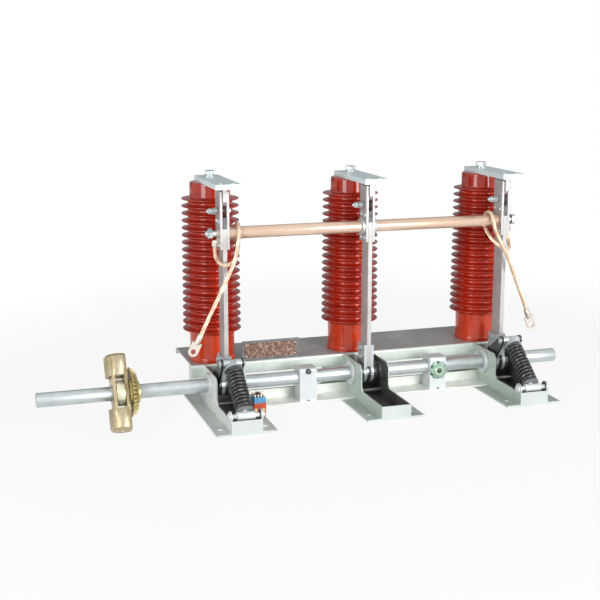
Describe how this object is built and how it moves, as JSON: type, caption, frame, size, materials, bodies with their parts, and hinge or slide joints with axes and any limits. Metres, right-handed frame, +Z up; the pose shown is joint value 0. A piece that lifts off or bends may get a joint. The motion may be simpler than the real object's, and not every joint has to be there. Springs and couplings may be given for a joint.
{
  "type": "earthing switch",
  "caption": "Indoor earthing switch: ribbed post insulators on a folded deck, hinged blades joined by a tube on a front shaft with closing springs and a bevel drive.",
  "frame": {"origin": "on the underside of the middle foot's base plate, straight below the middle insulator's axis", "axes": "+X along the main shaft to the right, -Y to the front where the blades open to, +Z up"},
  "size_m": [1.107, 0.378, 0.4912],
  "materials": {
    "zinc_sheet": "zinc-plated steel sheet, slightly green, semi-gloss",
    "zinc_bright": "bright zinc-plated steel, bluish grey",
    "red_resin": "glossy cast epoxy resin, deep red",
    "silvered_copper": "silver-plated copper bar, bright",
    "copper": "bare bright copper",
    "copper_braid": "stranded bare copper",
    "tinned_copper": "tinned copper",
    "yellow_zinc": "yellow-passivated zinc on cast iron",
    "black_spring": "black oil-hardened spring wire",
    "bare_plate": "bare copper-toned plate, mottled",
    "blue_plastic": "blue moulded plastic",
    "orange_plastic": "orange-red moulded plastic"
  },
  "bodies": {
    "base": {"deck": "zinc_sheet", "foot_left": "zinc_sheet", "foot_middle": "zinc_sheet", "foot_right": "zinc_sheet", "tie_rails": "zinc_sheet", "shaft_bushes": "zinc_bright", "mid_bearings": "zinc_bright", "insulator_left": "red_resin", "insulator_middle": "red_resin", "insulator_right": "red_resin", "terminal_bar_left": "silvered_copper", "terminal_bar_middle": "silvered_copper", "terminal_bar_right": "silvered_copper", "terminal_bolts": "zinc_bright", "fixed_contacts": "silvered_copper", "spring_pivot_pins": "zinc_bright", "gear_yoke": "yellow_zinc", "plate_bracket": "zinc_sheet", "rating_plate": "bare_plate", "aux_switch": "blue_plastic", "aux_terminal_strip": "orange_plastic"},
    "rotor": {"main_shaft": "zinc_bright", "bevel_wheel": "yellow_zinc", "yoke_collar": "yellow_zinc", "hub_left": "zinc_bright", "hub_middle": "zinc_bright", "hub_right": "zinc_bright", "blade_left": "silvered_copper", "blade_middle": "silvered_copper", "blade_right": "silvered_copper", "fork_left": "silvered_copper", "fork_middle": "silvered_copper", "fork_right": "silvered_copper", "cross_tube": "copper", "tube_clamp_rings": "zinc_bright", "tube_studs": "zinc_bright", "lead_left": "copper_braid", "lead_right": "copper_braid", "lead_eyes": "copper", "lead_lug_left": "tinned_copper", "lead_lug_right": "tinned_copper"},
    "left_guide": {"guide_left": "zinc_bright", "spring_left": "black_spring"},
    "right_guide": {"guide_right": "zinc_bright", "spring_right": "black_spring"},
    "left_seat": {"spring_seat_left": "zinc_bright"},
    "right_seat": {"spring_seat_right": "zinc_bright"}
  },
  "joints": [
    {"name": "blades_open", "type": "hinge", "parent": "base", "child": "rotor", "pos_m": [0, -0.1, 0.052], "axis": [1, 0, 0], "range_deg": [0, 62]},
    {"name": "left_guide_tilt", "type": "hinge", "parent": "base", "child": "left_guide", "pos_m": [-0.3, -0.258, 0.034], "axis": [-1, 0, 0], "range_deg": [0, 43.6]},
    {"name": "right_guide_tilt", "type": "hinge", "parent": "base", "child": "right_guide", "pos_m": [0.3, -0.258, 0.034], "axis": [-1, 0, 0], "range_deg": [0, 43.6]},
    {"name": "left_spring_press", "type": "slide", "parent": "left_guide", "child": "left_seat", "axis": [0, -0.7902, -0.6128], "range_m": [0, 0.0452], "deforming": ["spring_left"]},
    {"name": "right_spring_press", "type": "slide", "parent": "right_guide", "child": "right_seat", "axis": [0, -0.7902, -0.6128], "range_m": [0, 0.0452], "deforming": ["spring_right"]}
  ],
  "couplings": [
    {"joint": "left_guide_tilt", "follows": "blades_open", "ratio": 0.70035},
    {"joint": "right_guide_tilt", "follows": "blades_open", "ratio": 0.70035},
    {"joint": "left_spring_press", "follows": "blades_open", "m_per_rad": 0.0416},
    {"joint": "right_spring_press", "follows": "blades_open", "m_per_rad": 0.0416}
  ]
}
